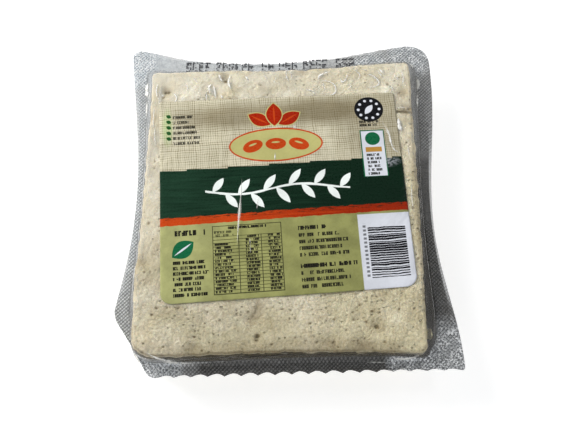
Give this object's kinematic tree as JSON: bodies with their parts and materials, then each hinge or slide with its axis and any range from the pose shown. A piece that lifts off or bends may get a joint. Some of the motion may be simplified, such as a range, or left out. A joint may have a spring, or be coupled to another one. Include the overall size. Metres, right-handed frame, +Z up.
{
  "type": "packed tofu block",
  "caption": "Rectangular block of firm tofu, vacuum sealed between two clear films with a knurled flange, and a paper label on top.",
  "frame": {"origin": "middle of the pack's outline, on the surface it lies on", "axes": "+Z up through the labelled face, +Y towards the far edge of the label, +X to the right of the label"},
  "size_m": [0.137, 0.1488, 0.0261],
  "materials": {
    "tofu": "moist fine-grained bean curd with small open pits, under clear film",
    "film": "clear glossy film, wrinkled over the block and knurled at the seal",
    "label": "smooth coated paper with printed bands, linen ground and small dark marks",
    "ink": "dotted black marks printed on the film"
  },
  "bodies": {
    "root": {"pack": "tofu", "label": "label"}
  },
  "joints": []
}
